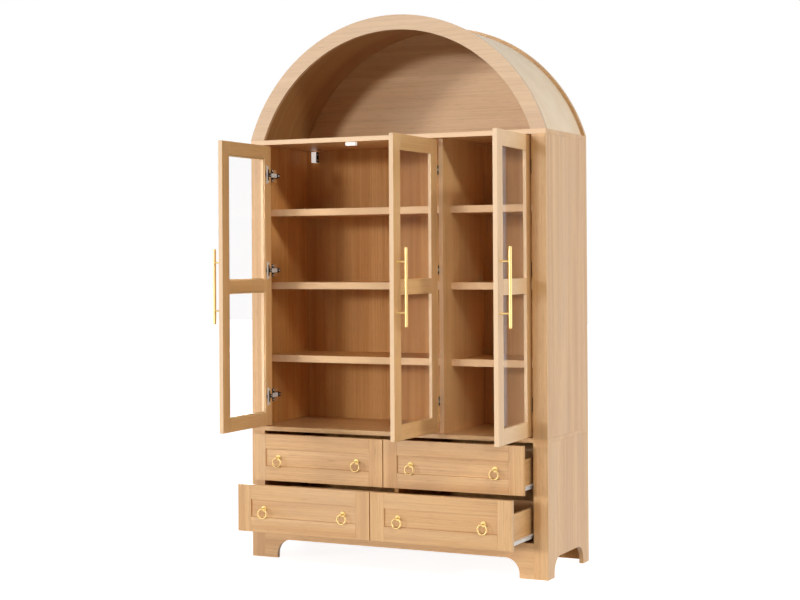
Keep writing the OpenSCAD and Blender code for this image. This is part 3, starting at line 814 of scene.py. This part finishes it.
def make_bracket():
    """Wall bracket: a plastic cover with a screwed steel plate on its side."""
    low, high = corners("wall_bracket")
    seam = high[0] - 1.2
    middle = (low[1] + high[1]) / 2
    parts = [paint(block("cover", low, (seam, high[1], high[2]), 0.8), WHITE_PLASTIC),
             paint(block("side plate", (seam, low[1], low[2]), high, 0.3), BLACK_STEEL)]
    for z in (low[2] + 9, high[2] - 9):
        parts.append(paint(rod("screw", (high[0] - 0.5, middle, z), (high[0] + 0.9, middle, z), 3.0, 0.3, 24),
                           PLATED))
    fit(join("wall_bracket_block", parts), CARCASS, None, ("wall_bracket",))


def make_cam_caps():
    """Brown caps over the cam locks, on both sides of each drawer's box."""
    for name in DRAWERS:
        low, high = corners(name + "_box")
        right = name.endswith("right")
        y = low[1] + 22
        for x, way in ((high[0], 1), (low[0], -1)):
            parts = [rod("cap", (x - way * 0.5, y, z), (x + way * 0.25, y, z), 5.0, 0.1, 28)
                     for z in (low[2] + 24, high[2] - 24)]
            side = "outer" if (way > 0) == right else "inner"
            fit(join("%s_cam_caps_%s" % (name, side), parts), name + "_drawer", DARK_PLASTIC)


# floor, light and camera
def strength_for_sight(tree, lit, mirrored, seen):
    """Strength of a background that lights the object, shows in its gloss and is seen behind it."""
    path = add(tree, "ShaderNodeLightPath")
    gloss = add(tree, "ShaderNodeMapRange",
                {"Value": path.outputs["Is Glossy Ray"], "To Min": lit, "To Max": mirrored})
    sight = add(tree, "ShaderNodeMath",
                {0: path.outputs["Is Camera Ray"], 1: path.outputs["Is Transmission Ray"]},
                operation="MAXIMUM")
    shown = add(tree, "ShaderNodeMapRange",
                {"Value": sight.outputs[0], "To Min": gloss.outputs["Result"], "To Max": seen})
    return shown.outputs["Result"]


# metres, and shares of white
FLOOR_SIZE = 40
FLOOR_ALBEDO = 0.6
FLOOR_LIFT = 0.88
WORLD_LIGHT = 0.08
ROOM_GLOSS = 0.15


def make_floor():
    """White floor that keeps the cabinet's shadow and is seen nearly as white as the backdrop."""
    clear_selection()
    bpy.ops.mesh.primitive_plane_add(size=FLOOR_SIZE, location=(0, 0, 0))
    floor = settle(bpy.context.object, "studio_floor")
    material, tree, output = new_material("white studio floor")
    diffuse = add(tree, "ShaderNodeBsdfDiffuse", {"Color": grey(FLOOR_ALBEDO)})
    lift = strength_for_sight(tree, 0.0, FLOOR_LIFT, FLOOR_LIFT)
    glow = add(tree, "ShaderNodeEmission", {"Strength": lift})
    both = add(tree, "ShaderNodeAddShader", {0: diffuse.outputs[0], 1: glow.outputs[0]})
    tree.links.new(both.outputs[0], output.inputs["Surface"])
    paint(floor, material)


def make_world():
    """White backdrop all round, which lights the cabinet only faintly."""
    world = bpy.data.worlds.new("studio")
    bpy.context.scene.world = world
    world.use_nodes = True
    tree = world.node_tree
    tree.nodes.clear()
    output = tree.nodes.new("ShaderNodeOutputWorld")
    # the backdrop stands behind the cabinet, so gloss finds the room in front of it dimmer
    way = add(tree, "ShaderNodeTexCoord")
    axes = add(tree, "ShaderNodeSeparateXYZ", {"Vector": way.outputs["Generated"]})
    gloss = add(tree, "ShaderNodeMapRange", {"Value": axes.outputs["Y"], "From Min": -0.3, "From Max": 0.3,
                                             "To Min": ROOM_GLOSS, "To Max": 1.0})
    strength = strength_for_sight(tree, WORLD_LIGHT, gloss.outputs["Result"], 1.0)
    sky = add(tree, "ShaderNodeBackground", {"Color": grey(1.0), "Strength": strength})
    tree.links.new(sky.outputs[0], output.inputs["Surface"])


# name, angle to the right of straight in front, angle up, spread in degrees, and strength
DISTANT_LAMPS = (
    ("key lamp, left", -47, 6, 8, 1.06),
    ("sheen lamp, left", -33, 13, 12, 0.2),
    ("front lamp", -8, 8, 7, 0.84),
    ("high lamp, right", 28, 38, 7, 0.45),
    ("side lamp, right", 60, 25, 7, 0.95),
    ("back lamp, left", -145, 14, 20, 1.2),
    ("rear lamp, right", 125, 10, 10, 0.55),
)
LAMP_DISTANCE = 6


def distant_lamp(name, azimuth, elevation, spread, strength):
    """A soft lamp far off, by its angles in degrees: to the right of straight in front, and up."""
    turn, rise = math.radians(azimuth), math.radians(elevation)
    way = Vector((math.sin(turn) * math.cos(rise), -math.cos(turn) * math.cos(rise), math.sin(rise)))
    data = bpy.data.lights.new(name, "SUN")
    data.angle = math.radians(spread)
    data.energy = strength
    lamp = bpy.data.objects.new(name, data)
    bpy.context.scene.collection.objects.link(lamp)
    lamp.location = way * LAMP_DISTANCE
    lamp.rotation_euler = way.to_track_quat("Z", "Y").to_euler()


def soft_lamp(name, place, target, size, power):
    """A large soft lamp, placed and aimed in metres."""
    data = bpy.data.lights.new(name, "AREA")
    data.shape = "RECTANGLE"
    data.size, data.size_y = size
    data.energy = power
    lamp = bpy.data.objects.new(name, data)
    bpy.context.scene.collection.objects.link(lamp)
    lamp.location = place
    lamp.rotation_euler = (Vector(target) - Vector(place)).to_track_quat("-Z", "Y").to_euler()


# the camera's place in cabinet millimetres and its turns in degrees, as fitted to the photograph
CAMERA_PLACE = (2423.5, -4892.2, 1023.0)
CAMERA_YAW = 26.087
CAMERA_PITCH = 0.404
CAMERA_ROLL = -0.335
FOCAL_PIXELS = 1631.0
# the photograph's horizon lies above its middle, as in a crop of a taller picture
HORIZON_ROW = 250.0


def make_camera():
    """Camera at the photograph's place, with its frame."""
    yaw, pitch, roll = (math.radians(a) for a in (CAMERA_YAW, CAMERA_PITCH, CAMERA_ROLL))
    ahead = Vector((-math.sin(yaw) * math.cos(pitch), math.cos(yaw) * math.cos(pitch), math.sin(pitch)))
    right = Vector((math.cos(yaw), math.sin(yaw), 0))
    up = right.cross(ahead)
    tilted_right = right * math.cos(roll) + up * math.sin(roll)
    tilted_up = up * math.cos(roll) - right * math.sin(roll)
    data = bpy.data.cameras.new("camera")
    data.sensor_width = 36.0
    data.lens = FOCAL_PIXELS / IMAGE_W * data.sensor_width
    data.shift_y = (HORIZON_ROW - IMAGE_H / 2) / IMAGE_W
    data.clip_end = 100
    camera = bpy.data.objects.new("camera", data)
    bpy.context.scene.collection.objects.link(camera)
    turn = Matrix((tilted_right, tilted_up, -ahead)).transposed().to_4x4()
    camera.matrix_world = Matrix.Translation(at(*CAMERA_PLACE)) @ turn
    bpy.context.scene.camera = camera


make_camera()
dress_boards()
make_arch()
make_doors()
make_drawers()
make_catch()
make_bracket()
make_cam_caps()
make_floor()
make_world()
for lamp_settings in DISTANT_LAMPS:
    distant_lamp(*lamp_settings)
soft_lamp("edge soft box, right", place=(3.4, 0.6, 1.3), target=(0.5, 0.2, 1.0), size=(1.2, 1.8), power=13)
bpy.context.scene.view_settings.view_transform = "Standard"
